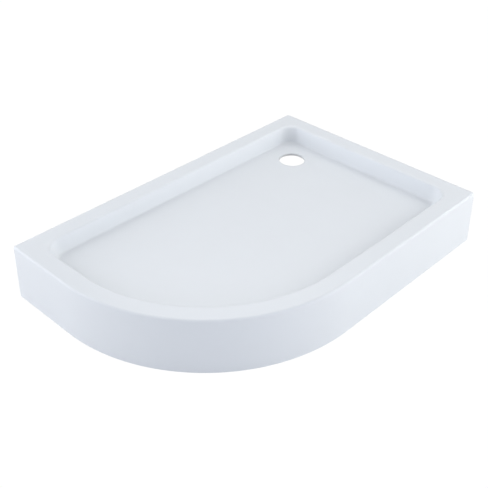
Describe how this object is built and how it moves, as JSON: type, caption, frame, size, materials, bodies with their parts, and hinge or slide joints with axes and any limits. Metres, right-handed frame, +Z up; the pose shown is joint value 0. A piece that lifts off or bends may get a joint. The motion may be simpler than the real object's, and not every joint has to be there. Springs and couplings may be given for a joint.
{
  "type": "quadrant shower tray",
  "caption": "White offset-quadrant shower tray with a curved front skirt, a waste hole in the wall corner and screw-adjusted feet underneath.",
  "frame": {"origin": "centre of the part's box, on the floor under the feet", "axes": "+X towards the short wall, +Y towards the long wall, +Z up; the curved corner faces -X and -Y"},
  "size_m": [1.206, 0.806, 0.18],
  "materials": {
    "acrylic": "polished white acrylic",
    "fibreglass": "sprayed chopped-strand fibreglass and resin",
    "chipboard": "raw chipboard",
    "zinc_steel": "bright zinc plate",
    "pad_plastic": "moulded black polypropylene"
  },
  "bodies": {
    "tray": {"tray_shell": "acrylic", "fibreglass_backing": "fibreglass", "base_board": "chipboard", "plate_screws": "zinc_steel", "foot_plate_1": "zinc_steel", "foot_plate_2": "zinc_steel", "foot_plate_3": "zinc_steel", "foot_plate_4": "zinc_steel", "foot_plate_5": "zinc_steel", "foot_plate_6": "zinc_steel", "foot_plate_7": "zinc_steel"},
    "foot_1_pad": {"foot_pad_1": "pad_plastic"},
    "foot_1_rod": {"foot_rod_1": "zinc_steel"},
    "foot_1_washer": {"lock_washer_1": "zinc_steel"},
    "foot_1_lock_nut": {"lock_nut_1": "zinc_steel"},
    "foot_2_pad": {"foot_pad_2": "pad_plastic"},
    "foot_2_rod": {"foot_rod_2": "zinc_steel"},
    "foot_2_washer": {"lock_washer_2": "zinc_steel"},
    "foot_2_lock_nut": {"lock_nut_2": "zinc_steel"},
    "foot_3_pad": {"foot_pad_3": "pad_plastic"},
    "foot_3_rod": {"foot_rod_3": "zinc_steel"},
    "foot_3_washer": {"lock_washer_3": "zinc_steel"},
    "foot_3_lock_nut": {"lock_nut_3": "zinc_steel"},
    "foot_4_pad": {"foot_pad_4": "pad_plastic"},
    "foot_4_rod": {"foot_rod_4": "zinc_steel"},
    "foot_4_washer": {"lock_washer_4": "zinc_steel"},
    "foot_4_lock_nut": {"lock_nut_4": "zinc_steel"},
    "foot_5_pad": {"foot_pad_5": "pad_plastic"},
    "foot_5_rod": {"foot_rod_5": "zinc_steel"},
    "foot_5_washer": {"lock_washer_5": "zinc_steel"},
    "foot_5_lock_nut": {"lock_nut_5": "zinc_steel"},
    "foot_6_pad": {"foot_pad_6": "pad_plastic"},
    "foot_6_rod": {"foot_rod_6": "zinc_steel"},
    "foot_6_washer": {"lock_washer_6": "zinc_steel"},
    "foot_6_lock_nut": {"lock_nut_6": "zinc_steel"},
    "foot_7_pad": {"foot_pad_7": "pad_plastic"},
    "foot_7_rod": {"foot_rod_7": "zinc_steel"},
    "foot_7_washer": {"lock_washer_7": "zinc_steel"},
    "foot_7_lock_nut": {"lock_nut_7": "zinc_steel"}
  },
  "joints": [
    {"name": "foot_1_height", "type": "slide", "parent": "tray", "child": "foot_1_pad", "axis": [0, 0, -1], "range_m": [-0.0025, 0.012]},
    {"name": "foot_1_turn", "type": "hinge", "parent": "foot_1_pad", "child": "foot_1_rod", "pos_m": [0.295, 0.26179, 0.02], "axis": [0, 0, -1], "range_deg": [-515, 2469]},
    {"name": "lock_nut_1_travel", "type": "slide", "parent": "tray", "child": "foot_1_washer", "axis": [0, 0, -1], "range_m": [0, 0.008]},
    {"name": "lock_nut_1_turn", "type": "hinge", "parent": "foot_1_washer", "child": "foot_1_lock_nut", "pos_m": [0.295, 0.26179, 0.094], "axis": [0, 0, -1], "range_deg": [0, 1646]},
    {"name": "foot_2_height", "type": "slide", "parent": "tray", "child": "foot_2_pad", "axis": [0, 0, -1], "range_m": [-0.0025, 0.012]},
    {"name": "foot_2_turn", "type": "hinge", "parent": "foot_2_pad", "child": "foot_2_rod", "pos_m": [-0.45579, 0.26179, 0.02], "axis": [0, 0, -1], "range_deg": [-515, 2469]},
    {"name": "lock_nut_2_travel", "type": "slide", "parent": "tray", "child": "foot_2_washer", "axis": [0, 0, -1], "range_m": [0, 0.008]},
    {"name": "lock_nut_2_turn", "type": "hinge", "parent": "foot_2_washer", "child": "foot_2_lock_nut", "pos_m": [-0.45579, 0.26179, 0.094], "axis": [0, 0, -1], "range_deg": [0, 1646]},
    {"name": "foot_3_height", "type": "slide", "parent": "tray", "child": "foot_3_pad", "axis": [0, 0, -1], "range_m": [-0.0025, 0.012]},
    {"name": "foot_3_turn", "type": "hinge", "parent": "foot_3_pad", "child": "foot_3_rod", "pos_m": [0.46179, 0.095, 0.02], "axis": [0, 0, -1], "range_deg": [-515, 2469]},
    {"name": "lock_nut_3_travel", "type": "slide", "parent": "tray", "child": "foot_3_washer", "axis": [0, 0, -1], "range_m": [0, 0.008]},
    {"name": "lock_nut_3_turn", "type": "hinge", "parent": "foot_3_washer", "child": "foot_3_lock_nut", "pos_m": [0.46179, 0.095, 0.094], "axis": [0, 0, -1], "range_deg": [0, 1646]},
    {"name": "foot_4_height", "type": "slide", "parent": "tray", "child": "foot_4_pad", "axis": [0, 0, -1], "range_m": [-0.0025, 0.012]},
    {"name": "foot_4_turn", "type": "hinge", "parent": "foot_4_pad", "child": "foot_4_rod", "pos_m": [0.46179, -0.25579, 0.02], "axis": [0, 0, -1], "range_deg": [-515, 2469]},
    {"name": "lock_nut_4_travel", "type": "slide", "parent": "tray", "child": "foot_4_washer", "axis": [0, 0, -1], "range_m": [0, 0.008]},
    {"name": "lock_nut_4_turn", "type": "hinge", "parent": "foot_4_washer", "child": "foot_4_lock_nut", "pos_m": [0.46179, -0.25579, 0.094], "axis": [0, 0, -1], "range_deg": [0, 1646]},
    {"name": "foot_5_height", "type": "slide", "parent": "tray", "child": "foot_5_pad", "axis": [0, 0, -1], "range_m": [-0.0025, 0.012]},
    {"name": "foot_5_turn", "type": "hinge", "parent": "foot_5_pad", "child": "foot_5_rod", "pos_m": [-0.007, -0.25579, 0.02], "axis": [0, 0, -1], "range_deg": [-515, 2469]},
    {"name": "lock_nut_5_travel", "type": "slide", "parent": "tray", "child": "foot_5_washer", "axis": [0, 0, -1], "range_m": [0, 0.008]},
    {"name": "lock_nut_5_turn", "type": "hinge", "parent": "foot_5_washer", "child": "foot_5_lock_nut", "pos_m": [-0.007, -0.25579, 0.094], "axis": [0, 0, -1], "range_deg": [0, 1646]},
    {"name": "foot_6_height", "type": "slide", "parent": "tray", "child": "foot_6_pad", "axis": [0, 0, -1], "range_m": [-0.0025, 0.012]},
    {"name": "foot_6_turn", "type": "hinge", "parent": "foot_6_pad", "child": "foot_6_rod", "pos_m": [-0.33606, -0.13606, 0.02], "axis": [0, 0, -1], "range_deg": [-515, 2469]},
    {"name": "lock_nut_6_travel", "type": "slide", "parent": "tray", "child": "foot_6_washer", "axis": [0, 0, -1], "range_m": [0, 0.008]},
    {"name": "lock_nut_6_turn", "type": "hinge", "parent": "foot_6_washer", "child": "foot_6_lock_nut", "pos_m": [-0.33606, -0.13606, 0.094], "axis": [0, 0, -1], "range_deg": [0, 1646]},
    {"name": "foot_7_height", "type": "slide", "parent": "tray", "child": "foot_7_pad", "axis": [0, 0, -1], "range_m": [-0.0025, 0.012]},
    {"name": "foot_7_turn", "type": "hinge", "parent": "foot_7_pad", "child": "foot_7_rod", "pos_m": [-0.047, 0.073, 0.02], "axis": [0, 0, -1], "range_deg": [-515, 2469]},
    {"name": "lock_nut_7_travel", "type": "slide", "parent": "tray", "child": "foot_7_washer", "axis": [0, 0, -1], "range_m": [0, 0.008]},
    {"name": "lock_nut_7_turn", "type": "hinge", "parent": "foot_7_washer", "child": "foot_7_lock_nut", "pos_m": [-0.047, 0.073, 0.094], "axis": [0, 0, -1], "range_deg": [0, 1646]}
  ],
  "couplings": [
    {"joint": "foot_1_turn", "follows": "foot_1_height", "rad_per_m": 3590.4},
    {"joint": "lock_nut_1_turn", "follows": "lock_nut_1_travel", "rad_per_m": 3590.4},
    {"joint": "foot_2_turn", "follows": "foot_2_height", "rad_per_m": 3590.4},
    {"joint": "lock_nut_2_turn", "follows": "lock_nut_2_travel", "rad_per_m": 3590.4},
    {"joint": "foot_3_turn", "follows": "foot_3_height", "rad_per_m": 3590.4},
    {"joint": "lock_nut_3_turn", "follows": "lock_nut_3_travel", "rad_per_m": 3590.4},
    {"joint": "foot_4_turn", "follows": "foot_4_height", "rad_per_m": 3590.4},
    {"joint": "lock_nut_4_turn", "follows": "lock_nut_4_travel", "rad_per_m": 3590.4},
    {"joint": "foot_5_turn", "follows": "foot_5_height", "rad_per_m": 3590.4},
    {"joint": "lock_nut_5_turn", "follows": "lock_nut_5_travel", "rad_per_m": 3590.4},
    {"joint": "foot_6_turn", "follows": "foot_6_height", "rad_per_m": 3590.4},
    {"joint": "lock_nut_6_turn", "follows": "lock_nut_6_travel", "rad_per_m": 3590.4},
    {"joint": "foot_7_turn", "follows": "foot_7_height", "rad_per_m": 3590.4},
    {"joint": "lock_nut_7_turn", "follows": "lock_nut_7_travel", "rad_per_m": 3590.4}
  ]
}
